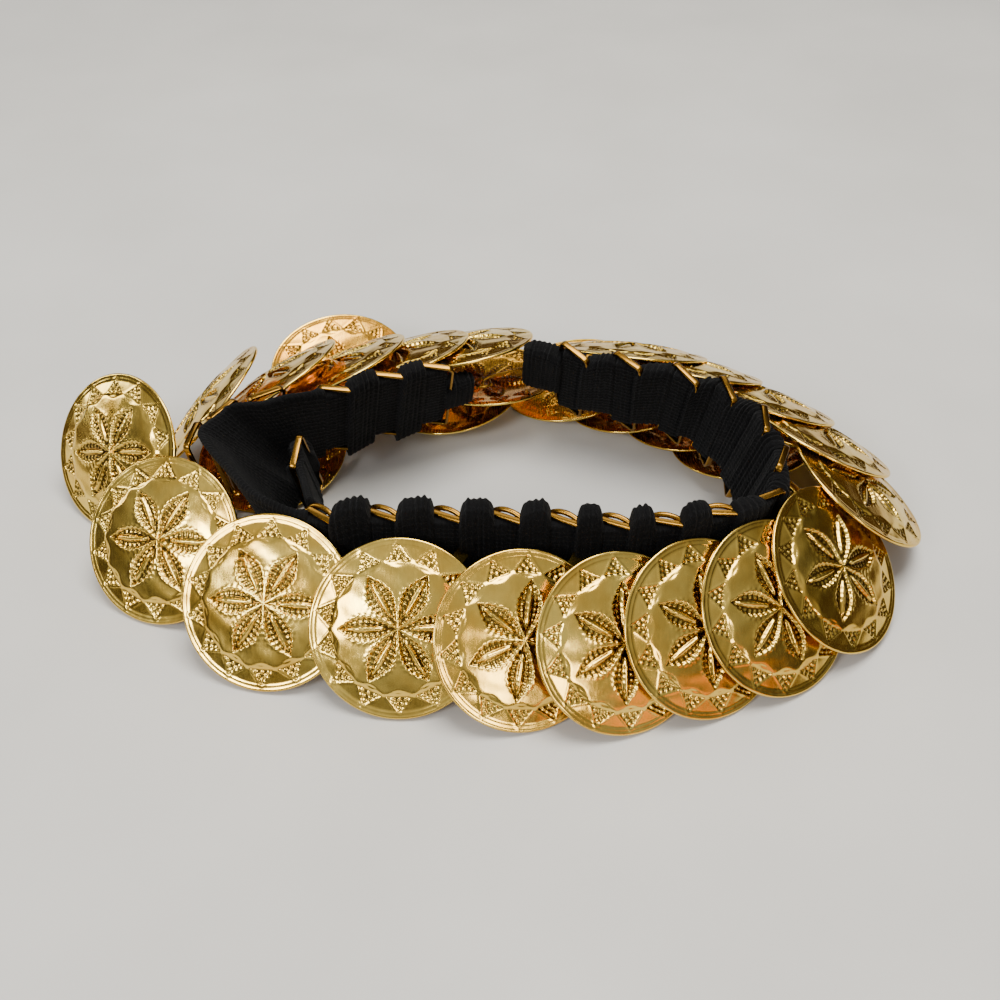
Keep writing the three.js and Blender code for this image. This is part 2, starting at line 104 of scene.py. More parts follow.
# Middle of a disc's rim, slope from level, direction it faces, the frame that carries it, and
# how far its flower is turned in the disc's own plane.
UPPER_DISCS = [
    (53.5, 51.0, 29.5, 31, 80, 1, 12), (72.5, 44.2, 27.6, 31, 70, 2, 40),
    (96.5, 31.0, 24.4, 31, 55, 3, 8), (113.0, 12.0, 23.0, 32, 38, 4, 21),
    (121.5, -10.5, 20.8, 34.5, 11, 5, 33), (107.0, -46.5, 19.8, 41.5, -35, 6, 39),
    (86.3, -61.9, 19.4, 45, -52, 7, 28), (64.5, -70.0, 19.5, 46, -57, 8, 13),
    (40.5, -75.5, 19.5, 46, -63, 9, 12), (12.5, -74.5, 19.5, 46, -70, 11, 8),
    (-23.0, -70.0, 19.5, 46, -92, 13, 2), (-62.0, -60.5, 20.0, 47, -101, 15, 4),
    (-98.0, -34.0, 19.5, 46, -112, 20, 12), (-121.0, 5.0, 22.0, 54, -126, 20, 22),
    (-94.0, 26.0, 25.0, 47, 170, 21, 0), (-73.0, 36.0, 27.5, 37, 150, 22, 17),
    (-51.0, 42.0, 29.0, 32, 140, 16, 35), (-30.0, 47.0, 30.0, 27, 130, 17, 5),
    (-8.0, 51.5, 31.0, 25, 115, 18, 27),
]
LOWER_DISCS = [
    (0.2, 56.0, 15.8, 168, -90, 1, 9), (33.0, 67.3, 5.1, 169, -10, 2, 31),
    (55.5, 59.5, 5.1, 169, -22, 3, 14), (76.5, 48.0, 5.1, 169, -36, 4, 3),
    (93.0, 31.5, 5.1, 169, -50, 5, 44), (-74.0, 24.0, 5.1, 169, 70, 22, 20),
    (-54.0, 68.0, 10.0, 165, 90, 17, 11), (-12.0, 59.0, 6.5, 172, 0, 18, 38),
]
HOOK_POINTS = [(16.5, 39.7, 31.0), (9.0, 36.3, 31.8), (3.0, 33.6, 31.8), (0.6, 32.5, 30.9),
               (0.2, 32.3, 29.4), (1.4, 32.9, 28.2), (3.2, 33.7, 28.2)]
EYE_AT, EYE_RADIUS, WIRE_RADIUS = (0.1, 32.3, 30.0), 2.4, 0.5


# ---------- node trees and materials ----------

WALE_PITCH, COURSE_PITCH = 1.3, 1.1          # of the stitches, along the band and up it


def add(tree, kind, settings=None, inputs=None, stops=()):
    """Adds a node. Its settings are attributes, and its inputs are values, sockets to link, or
    nodes whose first output is linked. Stops are a colour ramp's (place, hex colour)."""
    node = tree.nodes.new(kind)
    for name, value in (settings or {}).items():
        setattr(node, name, value)
    for name, value in (inputs or {}).items():
        if isinstance(value, bpy.types.Node):
            value = value.outputs[0]
        if isinstance(value, bpy.types.NodeSocket):
            tree.links.new(value, node.inputs[name])
        else:
            node.inputs[name].default_value = value
    for _ in stops[2:]:                      # a new ramp has two stops
        node.color_ramp.elements.new(0.5)
    if stops:
        for element, (place, code) in zip(node.color_ramp.elements, stops):
            element.position = place
            element.color = rgb(code)
    return node


def rgb(code):
    """An sRGB hex colour as linear RGBA."""
    parts = [int(code[i:i + 2], 16) / 255 for i in (1, 3, 5)]
    return [c / 12.92 if c <= 0.04045 else ((c + 0.055) / 1.055) ** 2.4 for c in parts] + [1.0]


def new_material(name):
    material = bpy.data.materials.new(name)
    material.use_nodes = True
    material.node_tree.nodes.clear()
    return material, material.node_tree


def plated_metal(name, light, mid, groove_shade, rough, dents):
    """Thin brass, stamped, polished and gold plated: mirror-like on the high places, with hair
    scratches and faint hand marks, and painted shade: dark brown laid into the struck grooves."""
    material, tree = new_material(name)
    place = add(tree, "ShaderNodeTexCoord").outputs["Object"]
    relief = add(tree, "ShaderNodeAttribute", {"attribute_name": "relief"}).outputs["Fac"]
    cloud = add(tree, "ShaderNodeTexNoise", inputs={
        "Vector": place, "Scale": PER_METRE / 14.0, "Detail": 3.0, "Roughness": 0.55})
    hand = add(tree, "ShaderNodeValToRGB", inputs={0: cloud}, stops=[(0.32, mid), (0.68, light)])
    # Painted shade: the low places of the stamping take the dark brown colour.
    colour = add(tree, "ShaderNodeMix", {"data_type": "RGBA"}, {
        0: relief, 6: rgb(groove_shade), 7: hand}).outputs[2]
    # Hair scratches run two ways; 0.25 mm across, drawn wider than real ones so they show.
    scratches = 0.0
    for turn_deg in (25, 112):
        turned = add(tree, "ShaderNodeMapping", inputs={
            "Vector": place, "Rotation": (0.3, 0.2, math.radians(turn_deg)),
            "Scale": (1.0, 0.06, 0.3)})
        lines = add(tree, "ShaderNodeTexNoise", inputs={
            "Vector": turned, "Scale": PER_METRE / 0.5, "Detail": 1.0})
        scratches = add(tree, "ShaderNodeMath", {"operation": "MAXIMUM"}, {
            0: scratches, 1: lines})
    smear = add(tree, "ShaderNodeTexNoise", inputs={
        "Vector": place, "Scale": PER_METRE / 5.0, "Detail": 4.0, "Roughness": 0.6})
    smeared = add(tree, "ShaderNodeMapRange", inputs={
        "Value": smear, "To Min": rough * 0.7, "To Max": rough * 1.5})
    scratched = add(tree, "ShaderNodeMapRange", inputs={
        "Value": scratches, "To Min": -0.05, "To Max": 0.11})
    roughness = add(tree, "ShaderNodeMath", {"operation": "ADD"}, {0: smeared, 1: scratched})
    dimples = add(tree, "ShaderNodeTexNoise", inputs={
        "Vector": place, "Scale": PER_METRE / 9.0, "Detail": 2.0})
    dent = add(tree, "ShaderNodeBump", inputs={
        "Strength": 1.0, "Distance": dents * MM, "Height": dimples})
    marks = add(tree, "ShaderNodeBump", inputs={
        "Strength": 0.35, "Distance": 0.02 * MM, "Height": scratches, "Normal": dent})
    shader = add(tree, "ShaderNodeBsdfPrincipled", inputs={
        "Metallic": 1.0, "Base Color": colour, "Roughness": roughness, "Normal": marks})
    add(tree, "ShaderNodeOutputMaterial", inputs={"Surface": shader})
    return material


def knit_cloth(name):
    """Black viscose and elastane knit: matt and deep black, with a beaded look. Real stitches
    are about 0.8 mm; these are larger so that they show. The stitch crowns get a painted
    highlight, and lint greys the cloth in broad random patches."""
    material, tree = new_material(name)
    cloth = add(tree, "ShaderNodeUVMap", {"uv_map": "cloth"})
    place = add(tree, "ShaderNodeTexCoord").outputs["Object"]
    along, up, _ = add(tree, "ShaderNodeSeparateXYZ", inputs={0: cloth}).outputs
    uneven = add(tree, "ShaderNodeTexNoise", inputs={
        "Vector": place, "Scale": PER_METRE / 1.5, "Detail": 3.0})
    wobble = add(tree, "ShaderNodeMapRange", inputs={
        "Value": uneven, "To Min": -3.2, "To Max": 3.2})
    # Each stitch is a V: the wales run up the band and the courses zigzag across them.
    wale_phase = add(tree, "ShaderNodeMath", {"operation": "MULTIPLY"}, {
        0: along, 1: 2 * math.pi / (WALE_PITCH * MM)})
    wale_place = add(tree, "ShaderNodeMath", {"operation": "ADD"}, {0: wale_phase, 1: wobble})
    wales = add(tree, "ShaderNodeMath", {"operation": "SINE"}, {0: wale_place})
    slant = add(tree, "ShaderNodeMath", {"operation": "ABSOLUTE"}, {0: wales})
    zigzag = add(tree, "ShaderNodeMath", {"operation": "MULTIPLY"}, {0: slant, 1: 1.3})
    course_shift = add(tree, "ShaderNodeMath", {"operation": "ADD"}, {0: zigzag, 1: wobble})
    course_phase = add(tree, "ShaderNodeMath", {"operation": "MULTIPLY"}, {
        0: up, 1: 2 * math.pi / (COURSE_PITCH * MM)})
    course_place = add(tree, "ShaderNodeMath", {"operation": "ADD"}, {
        0: course_phase, 1: course_shift})
    courses = add(tree, "ShaderNodeMath", {"operation": "SINE"}, {0: course_place})
    stitch = 1.0
    for wave in (wales, courses):
        raised = add(tree, "ShaderNodeMapRange", inputs={
            "Value": wave, "To Min": 0.7, "To Max": 1.5})
        stitch = add(tree, "ShaderNodeMath", {"operation": "MULTIPLY"}, {0: stitch, 1: raised})
    fuzz = add(tree, "ShaderNodeTexNoise", inputs={
        "Vector": place, "Scale": PER_METRE / 0.35, "Detail": 3.0, "Roughness": 0.7})
    low_fuzz = add(tree, "ShaderNodeMath", {"operation": "MULTIPLY"}, {0: fuzz, 1: 0.8})
    height = add(tree, "ShaderNodeMath", {"operation": "ADD"}, {0: stitch, 1: low_fuzz})
    # Painted highlight: raised stitches are coloured lighter; a broad lint noise is added on top.
    high = add(tree, "ShaderNodeMath", {"operation": "MULTIPLY"}, {0: height, 1: 0.3})
    lint = add(tree, "ShaderNodeTexNoise", inputs={
        "Vector": place, "Scale": PER_METRE / 11.0, "Detail": 2.0})
    crown_highlight_and_lint = add(tree, "ShaderNodeMath", {"operation": "ADD"}, {0: high, 1: lint})
    crown = add(tree, "ShaderNodeMapRange", inputs={
        "Value": crown_highlight_and_lint, "To Min": 0.0, "To Max": 0.8})
    colour = add(tree, "ShaderNodeValToRGB", inputs={0: crown}, stops=[
        (0.15, "#010102"), (0.55, "#040405"), (1.0, "#101012")])
    bump = add(tree, "ShaderNodeBump", inputs={
        "Strength": 1.0, "Distance": 0.3 * MM, "Height": height})
    shader = add(tree, "ShaderNodeBsdfPrincipled", inputs={
        "Base Color": colour, "Normal": bump, "Roughness": 0.88, "Specular IOR Level": 0.12,
        "Sheen Weight": 0.02, "Sheen Roughness": 0.5})
    add(tree, "ShaderNodeOutputMaterial", inputs={"Surface": shader})
    return material


def painted_floor(name):
    material, tree = new_material(name)
    place = add(tree, "ShaderNodeTexCoord").outputs["Object"]
    patches = add(tree, "ShaderNodeTexNoise", inputs={
        "Vector": place, "Scale": PER_METRE / 90.0, "Detail": 4.0})
    colour = add(tree, "ShaderNodeValToRGB", inputs={0: patches}, stops=[
        (0.3, "#bfbdb9"), (0.7, "#c8c6c2")])
    shader = add(tree, "ShaderNodeBsdfPrincipled", inputs={
        "Base Color": colour, "Roughness": 0.6})
    add(tree, "ShaderNodeOutputMaterial", inputs={"Surface": shader})
    return material


# The third colour of each metal is painted shade for the low places of its stamping.
gold = plated_metal("gold_plated_stamped_brass", "#f7d468", "#dfb24a", "#4e300c", 0.14, 0.22)
# The discs' backs get a darker, more amber copy of the gold: painted shade.
shaded_gold_back = plated_metal("brass_back_painted_shade", "#e8b344", "#bd7e28", "#4e2c0c", 0.2, 0.22)
gold_strip = plated_metal("gold_plated_bent_strip", "#ffe590", "#f0cc66", "#8a6424", 0.17, 0.06)
gold_wire = plated_metal("gold_plated_drawn_wire", "#f3d489", "#dfb35c", "#8a6424", 0.22, 0.03)
knit = knit_cloth("black_rib_knit")


# ---------- meshes ----------


def mesh_object(name, points, faces):
    mesh = bpy.data.meshes.new(name)
    mesh.from_pydata([tuple(p) for p in np.asarray(points) * MM], [], faces)
    mesh.polygons.foreach_set("use_smooth", [True] * len(mesh.polygons))
    mesh.update()
    piece = bpy.data.objects.new(name, mesh)
    scene.collection.objects.link(piece)
    return piece


def float_attribute(piece, name, values):
    piece.data.attributes.new(name, "FLOAT", "POINT").data.foreach_set("value", values)


def socket(tree, name, kind):
    return tree.interface.new_socket(name, in_out="INPUT", socket_type=kind).identifier


def finish_tree(tree, geometry, material):
    """Ends a tree in Realize Instances and Set Material."""
    tree.interface.new_socket("Geometry", in_out="OUTPUT", socket_type="NodeSocketGeometry")
    real = add(tree, "GeometryNodeRealizeInstances", inputs={"Geometry": geometry})
    coated = add(tree, "GeometryNodeSetMaterial", inputs={
        "Geometry": real.outputs[0], "Material": material})
    return coated


def plain_mesh(tree, name, values):
    """Runs a tree with its named inputs and keeps the result as a plain mesh object."""
    carrier = bpy.data.objects.new(name + "_tree", bpy.data.meshes.new(name + "_tree"))
    scene.collection.objects.link(carrier)
    modifier = carrier.modifiers.new("tree", "NODES")
    modifier.node_group = tree
    named = {item.name: item.identifier for item in tree.interface.items_tree
             if item.item_type == "SOCKET" and item.in_out == "INPUT"}
    for key, value in values.items():
        modifier[named[key]] = value
    bpy.context.view_layer.update()
    depsgraph = bpy.context.evaluated_depsgraph_get()
    mesh = bpy.data.meshes.new_from_object(carrier.evaluated_get(depsgraph))
    mesh.name = name
    carrier.modifiers.remove(modifier)
    bpy.data.objects.remove(carrier)
    piece = bpy.data.objects.new(name, mesh)
    scene.collection.objects.link(piece)
    return piece


def settle(piece, node):
    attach(piece, BODY)
    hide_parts(node)
    return piece


# ---------- places along the band ----------


def unit(vector):
    return vector / np.linalg.norm(vector)


def mix(a, b, part):
    return a + (b - a) * part


def bar_ends(row):
    dx, dy = row[2] - row[0], row[3] - row[1]
    foot = np.array([row[0], row[1], row[4]])
    rise = math.sqrt(BAR_SPAN ** 2 - dx ** 2 - dy ** 2)
    return foot, foot + np.array([dx, dy, rise])


def across_to(along, up):
    return unit(along - up * along.dot(up))


def make_place(middle, along, up, base, framed):
    return {"middle": middle, "along": along, "up": up, "out": np.cross(up, along),
            "base": base, "framed": framed}


def places_along(rows):
    ends = [bar_ends(row) for row in rows]
    middles = [(foot + head) / 2 for foot, head in ends]
    places = []
    for i, row in enumerate(rows):
        before, after = middles[max(i - 1, 0)], middles[min(i + 1, len(rows) - 1)]
        up = unit(ends[i][1] - ends[i][0])
        places.append(make_place(middles[i], across_to(after - before, up), up, row[5], row[6]))
    return places


def basis(x, y, z, place):
    matrix = Matrix.Identity(4)
    for k, column in enumerate((x, y, z, place)):
        for i in range(3):
            matrix[i][k] = column[i]
    return matrix


def frame_matrix(place):
    turned = basis(place["along"], place["up"], -place["out"], place["middle"])
    return turned @ Matrix.Rotation(-FRAME_YAW, 4, "Y")


def loose_frame_matrix(row):
    foot, head = bar_ends(row)
    up = unit(head - foot)
    angle = math.radians(row[5])
    along = across_to(np.array([math.cos(angle), math.sin(angle), 0.0]), up)
    return basis(along, up, np.cross(along, up), (foot + head) / 2)


band_places = places_along(BAND_ROWS)
fold_places = places_along(FOLD_ROWS)
frame_matrices = [frame_matrix(p) for p in band_places + fold_places if p["framed"]]
frame_matrices += [loose_frame_matrix(row) for row in LOOSE_FRAMES]


def placed(matrix):
    """Translation in metres and rotation of a matrix in millimetres, for a tree's inputs."""
    moved = Vector(matrix.translation) + Vector(BELT_SHIFT)
    return tuple(moved * MM), tuple(matrix.to_euler())


# ---------- frames ----------


def frame_tree():
    """A rounded rectangle of flat strip with softened edges, bent and soldered shut."""
    tree = bpy.data.node_groups.new("bent_strip_frame", "GeometryNodeTree")
    for name in ("Length", "Height", "Strip", "Width", "Corner", "Softening"):
        socket(tree, name, "NodeSocketFloat")
    socket(tree, "Place", "NodeSocketVector")
    socket(tree, "Turn", "NodeSocketVector")
    given = add(tree, "NodeGroupInput").outputs
    outline = add(tree, "GeometryNodeCurvePrimitiveQuadrilateral", inputs={
        0: given["Length"], 1: given["Height"]})
    bent = add(tree, "GeometryNodeFilletCurve", {"mode": "POLY"}, {
        "Curve": outline.outputs[0], "Radius": given["Corner"], "Count": 6})
    section = add(tree, "GeometryNodeCurvePrimitiveQuadrilateral", inputs={
        0: given["Strip"], 1: given["Width"]})
    softened = add(tree, "GeometryNodeFilletCurve", {"mode": "POLY"}, {
        "Curve": section.outputs[0], "Radius": given["Softening"], "Count": 3})
    strip = add(tree, "GeometryNodeCurveToMesh", inputs={
        "Curve": bent.outputs[0], "Profile Curve": softened.outputs[0]})
    moved = add(tree, "GeometryNodeTransform", inputs={
        "Geometry": strip.outputs[0], "Translation": given["Place"],
        "Rotation": given["Turn"]})
    smooth = add(tree, "GeometryNodeSetShadeSmooth", inputs={"Geometry": moved.outputs[0]})
    coated = finish_tree(tree, smooth.outputs[0], gold_strip)
    add(tree, "NodeGroupOutput", inputs={0: coated.outputs[0]})
    return tree


strip_frame = frame_tree()
for i, matrix in enumerate(frame_matrices):
    spot, turn = placed(matrix)
    piece = plain_mesh(strip_frame, f"bent_frame_{i + 1:02d}", {
        "Length": (FRAME_LENGTH - FRAME_STRIP) * MM, "Height": (FRAME_HEIGHT - FRAME_STRIP) * MM,
        "Strip": FRAME_STRIP * MM, "Width": FRAME_WIDTH * MM,
        "Corner": (FRAME_CORNER - FRAME_STRIP / 2) * MM, "Softening": FRAME_SOFTENING * MM,
        "Place": spot, "Turn": turn})
    settle(piece, f"frame_{i + 1:02d}")


# ---------- discs ----------

PETALS, PETAL_LENGTH, PETAL_HALF, PETAL_DEPTH = 6, 17.0, 3.2, 0.95
BEAD_PITCH = 1.6                             # of the beads and the serration along a petal
TRIANGLES, TRIANGLE_FOOT, TRIANGLE_HALF, TRIANGLE_REACH = 14, 19.2, 3.55, 4.9
TRIANGLE_BEADS = [(-1.95, 0.95), (0.0, 0.95), (1.95, 0.95), (-1.0, 2.3), (1.0, 2.3), (0.0, 3.55)]
BEAD_RADIUS, BEAD_RISE = 0.8, 0.5
FACET_RADIUS, FACET_SWING = 18.1, 1.1        # the scalloped edge where the border begins
SHELF_END = (23.6, 24.6)                     # the sunk border rises to the rim over this
GROOVE_RADIUS, GROOVE_WIDTH = 24.75, 0.22    # a line struck just inside the rim
RIM_POINTS = 336
RIM_SECTION = [(25.85, 0.14), (26.0, -0.1), (26.0, -0.45), (25.85, -SHEET)]
# Rings of points on a face: first radius, limit of the radii, step, and points on each ring.
FINE_RINGS = [(0.7, 5.9, 0.5, 84), (6.2, 12.9, 0.42, 168), (13.2, 25.6, 0.4, RIM_POINTS)]
COARSE_RINGS = [(1.5, 7.0, 1.2, 42), (8.0, 17.0, 0.9, 84), (17.4, 24.5, 0.9, 168),
                (25.3, 25.6, 0.9, RIM_POINTS)]
STRAP_STEP, STRAP_DIRECTIONS = 2.0, 36       # of the places where a strap may start or end


def ease(low, high, x):
    t = np.clip((x - low) / (high - low), 0.0, 1.0)
    return t * t * (3 - 2 * t)


def nearest_ray(angle, count):
    """The angle from the nearest of count equal rays."""
    step = 2 * math.pi / count
    return (angle + step / 2) % step - step / 2


def petal_relief(radius, angle, fine):
    """A struck leaf: a serrated wall down to a beaded floor with a raised rib along it."""
    off = nearest_ray(angle + math.pi / PETALS, PETALS)
    along, across = radius * np.cos(off), np.abs(radius * np.sin(off))
    part = np.clip(along / PETAL_LENGTH, 0.0, 1.0)
    wave = np.cos(2 * math.pi * along / BEAD_PITCH) if fine else 0.0
    half = PETAL_HALF * np.sin(math.pi * part ** 1.25) * (1 + 0.1 * wave) + 0.02
    share = across / half
    inside = (along > 0) & (along < PETAL_LENGTH)
    relief = -PETAL_DEPTH * (1 - ease(0.86, 1.1, share))
    relief += 0.14 * np.exp(-((share - 1.2) / 0.14) ** 2)
    rib_ends = ease(0.2, 0.3, part) * (1 - ease(0.84, 0.93, part))
    relief += 0.85 * rib_ends * (1 - ease(0.1, 0.34, share))
    if fine:
        relief += 0.42 * (0.5 - 0.5 * wave) * np.exp(-((share - 0.66) / 0.15) ** 2)
    return np.where(inside, relief, 0.0)


def border_relief(radius, angle, fine):
    """Triangles that point outwards, each sunk, outlined and filled with six beads."""
    off = nearest_ray(angle, TRIANGLES)
    x, y = radius * np.sin(off), radius * np.cos(off) - TRIANGLE_FOOT
    slant = math.hypot(TRIANGLE_HALF, TRIANGLE_REACH)
    side = ((np.abs(x) - TRIANGLE_HALF) * TRIANGLE_REACH + y * TRIANGLE_HALF) / slant
    edge = np.maximum(-y, side)
    relief = -0.42 * (1 - ease(-0.3, 0.2, edge)) + 0.16 * np.exp(-((edge - 0.35) / 0.25) ** 2)
    if fine:
        for bead_x, bead_y in TRIANGLE_BEADS:
            away = np.hypot(x - bead_x, y - bead_y) / BEAD_RADIUS
            relief += BEAD_RISE * np.clip(1 - away ** 2, 0.0, 1.0)
    return relief


def disc_relief(radius, angle, fine):
    """Height of the stamping over the plain dome."""
    facet = FACET_RADIUS + FACET_SWING * (0.5 - 0.5 * np.cos(TRIANGLES * angle))
    shelf = ease(-0.7, 0.7, radius - facet) * (1 - ease(*SHELF_END, radius))
    relief = 0.12 - 0.42 * shelf - 0.12 * ease(*SHELF_END, radius)
    relief += petal_relief(radius, angle, fine)
    relief += border_relief(radius, angle, fine)
    relief -= 0.14 * np.exp(-((radius - GROOVE_RADIUS) / GROOVE_WIDTH) ** 2)
    relief += 0.16 * ease(25.0, 25.4, radius)
    x, y = radius * np.cos(angle), radius * np.sin(angle)
    relief += 0.05 * np.sin(0.42 * x + 1.1) * np.sin(0.37 * y + 0.4)
    relief += 0.03 * np.sin(0.8 * x - 0.55 * y + 2.0)
    return relief


def ring_plan(fine):
    """Radii and numbers of points of the rings of one face, from the middle out."""
    return [(radius, count) for first, limit, step, count in (FINE_RINGS if fine else COARSE_RINGS)
            for radius in np.arange(first, limit, step)]


def face_of_disc(plan, first, flip):
    """Faces of a fan and rings of points, numbered from first. A ring has as many points as the
    ring inside it, or twice as many."""
    faces, start, count = [], first + 1, plan[0][1]
    for k in range(count):
        faces.append((first, start + k, start + (k + 1) % count))
    for (_, inner), (_, outer) in zip(plan, plan[1:]):
        after = start + inner
        for k in range(inner):
            a, b = start + k, start + (k + 1) % inner
            if outer == inner:
                faces.append((a, after + k, after + (k + 1) % outer, b))
            else:
                c, d, e = (after + (2 * k + j) % outer for j in range(3))
                faces += [(a, c, d), (a, d, b), (b, d, e)]
        start = after
    return [tuple(reversed(f)) for f in faces] if flip else faces


def disc_side(plan, fine, drop):
    """Points of one face of a disc, and how high each lies in the stamping, from 0 to 1."""
    radius = np.concatenate([[0.0]] + [np.full(n, r) for r, n in plan])
    angle = np.concatenate([[0.0]] + [np.arange(n) * 2 * math.pi / n for _, n in plan])
    relief = disc_relief(radius, angle, fine)
    dome = DISC_RISE * (1 - (radius / DISC_RADIUS) ** 2)
    points = np.stack([radius * np.cos(angle), radius * np.sin(angle), dome + relief - drop], 1)
    return points, ease(-0.95, -0.3, relief)


def disc_master(name, fine_front):
    """One stamped disc, flat side down in its own frame. The side that shows is the fine one."""
    front_plan, back_plan = ring_plan(fine_front), ring_plan(not fine_front)
    front, front_high = disc_side(front_plan, fine_front, 0.0)
    back, back_high = disc_side(back_plan, not fine_front, SHEET)
    edge_angle = np.arange(RIM_POINTS) * 2 * math.pi / RIM_POINTS
    rims = [np.stack([r * np.cos(edge_angle), r * np.sin(edge_angle), np.full(RIM_POINTS, z)], 1)
            for r, z in RIM_SECTION]
    points = np.concatenate([front, back] + rims)
    faces = face_of_disc(front_plan, 0, False)
    faces += face_of_disc(back_plan, len(front), True)
    sides = len(front) + len(back)
    loops = [len(front) - RIM_POINTS, *(sides + RIM_POINTS * k for k in range(len(rims))),
             sides - RIM_POINTS]
    for low, high in zip(loops, loops[1:]):
        for k in range(RIM_POINTS):
            j = (k + 1) % RIM_POINTS
            faces.append((low + k, high + k, high + j, low + j))
    piece = mesh_object(name, points, faces)
    relief = np.concatenate([front_high, back_high, np.ones(len(rims) * RIM_POINTS)])
    float_attribute(piece, "relief", relief)
    behind = np.zeros(len(points), bool)
    behind[len(front):sides] = True
    piece.data.attributes.new("behind", "BOOLEAN", "POINT").data.foreach_set("value", behind)
    return piece


def disc_tree():
    """Puts a stamped disc in place with its strap, and coats its front and its back."""
    tree = bpy.data.node_groups.new("disc_with_strap", "GeometryNodeTree")
    socket(tree, "Disc", "NodeSocketObject")
    for name in ("Place", "Turn", "Strap Place", "Strap Turn"):
        socket(tree, name, "NodeSocketVector")
    for name in ("Strap Length", "Strap Width", "Strap Thickness"):
        socket(tree, name, "NodeSocketFloat")
    given = add(tree, "NodeGroupInput").outputs
    stamped = add(tree, "GeometryNodeObjectInfo", inputs={"Object": given["Disc"]})
    disc = add(tree, "GeometryNodeTransform", inputs={
        "Geometry": stamped.outputs["Geometry"], "Translation": given["Place"],
        "Rotation": given["Turn"]})
    tip = add(tree, "ShaderNodeCombineXYZ", inputs={"Z": given["Strap Length"]})
    line = add(tree, "GeometryNodeCurvePrimitiveLine", inputs={"End": tip.outputs[0]})
    section = add(tree, "GeometryNodeCurvePrimitiveQuadrilateral", inputs={
        0: given["Strap Width"], 1: given["Strap Thickness"]})
    softened = add(tree, "GeometryNodeFilletCurve", {"mode": "POLY"}, {
        "Curve": section.outputs[0], "Radius": STRAP_SOFTENING * MM, "Count": 3})
    strap = add(tree, "GeometryNodeCurveToMesh", inputs={
        "Curve": line.outputs[0], "Profile Curve": softened.outputs[0], "Fill Caps": True})
    strap_in_place = add(tree, "GeometryNodeTransform", inputs={
        "Geometry": strap.outputs[0], "Translation": given["Strap Place"],
        "Rotation": given["Strap Turn"]})
    high = add(tree, "GeometryNodeStoreNamedAttribute", {"data_type": "FLOAT"}, {
        "Geometry": strap_in_place.outputs[0], "Name": "relief", "Value": 1.0})
    both = add(tree, "GeometryNodeJoinGeometry")
    tree.links.new(high.outputs[0], both.inputs[0])
    tree.links.new(disc.outputs[0], both.inputs[0])
    coated = finish_tree(tree, both.outputs[0], gold)
    behind = add(tree, "GeometryNodeInputNamedAttribute", {"data_type": "BOOLEAN"}, {
        "Name": "behind"})
    # The back faces take the darker amber copy of the gold as painted shade.
    backed = add(tree, "GeometryNodeSetMaterial", inputs={
        "Geometry": coated.outputs[0], "Selection": behind.outputs[0], "Material": shaded_gold_back})
    add(tree, "NodeGroupOutput", inputs={0: backed.outputs[0]})
    return tree


def disc_matrix(row):
    x, y, z, slope, facing = row[:5]
    return (Matrix.Translation((x, y, z)) @ Matrix.Rotation(math.radians(facing), 4, "Z")
            @ Matrix.Rotation(math.radians(slope), 4, "Y"))


def strap_ends(disc, seat_frame, top, reach_on_disc):
    """The shortest straight way from a disc's back to the frame's trailing upright."""
    reach = FRAME_HEIGHT / 2 - FRAME_CORNER
    seats = np.array([seat_frame @ Vector(((FRAME_STRIP - FRAME_LENGTH) / 2, h, -FRAME_WIDTH / 2))
                      for h in np.arange(-reach, top + 0.01, STRAP_STEP)])
    roots = []
    for radius in np.arange(1.0, reach_on_disc + 0.01, STRAP_STEP):
        height = DISC_RISE * (1 - (radius / DISC_RADIUS) ** 2) - SHEET
        for angle in np.arange(STRAP_DIRECTIONS) * 2 * math.pi / STRAP_DIRECTIONS:
            roots.append(disc @ Vector((radius * math.cos(angle), radius * math.sin(angle),
                                        height)))
    roots = np.array(roots)
    lengths = np.linalg.norm(roots[:, None] - seats[None], axis=2)
    i, j = np.unravel_index(lengths.argmin(), lengths.shape)
    return roots[i], seats[j]


def make_disc(tree, row, name, node, master):
    place = disc_matrix(row)
    facing = np.array(place.col[2][:3])
    root, seat = strap_ends(place, frame_matrices[row[5] - 1], *STRAP_LIMITS[row[3] > 90])
    way = unit(seat - root)
    across = unit(np.cross(way, facing))
    strap = basis(across, np.cross(way, across), way, root)
    spot, turn = placed(place @ Matrix.Rotation(math.radians(row[6]), 4, "Z"))
    strap_spot, strap_turn = placed(strap)
    piece = plain_mesh(tree, name, {
        "Disc": master, "Place": spot, "Turn": turn, "Strap Place": strap_spot,
        "Strap Turn": strap_turn,
        "Strap Length": max(np.linalg.norm(seat - root) - GAP, GAP) * MM,
        "Strap Width": STRAP_WIDTH * MM, "Strap Thickness": STRAP_THICKNESS * MM})
    return settle(piece, node)


disc_with_strap = disc_tree()
upper_master = disc_master("upper_disc_master", True)
lower_master = disc_master("lower_disc_master", False)
for i, row in enumerate(UPPER_DISCS):
    make_disc(disc_with_strap, row, f"stamped_disc_{i + 1:02d}", f"disc_{i + 1:02d}",
              upper_master)
for i, row in enumerate(LOWER_DISCS):
    make_disc(disc_with_strap, row, f"stamped_lower_disc_{i + 1:02d}",
              f"lower_disc_{i + 1:02d}", lower_master)
for master in (upper_master, lower_master):
    bpy.data.objects.remove(master)


# ---------- knit ----------

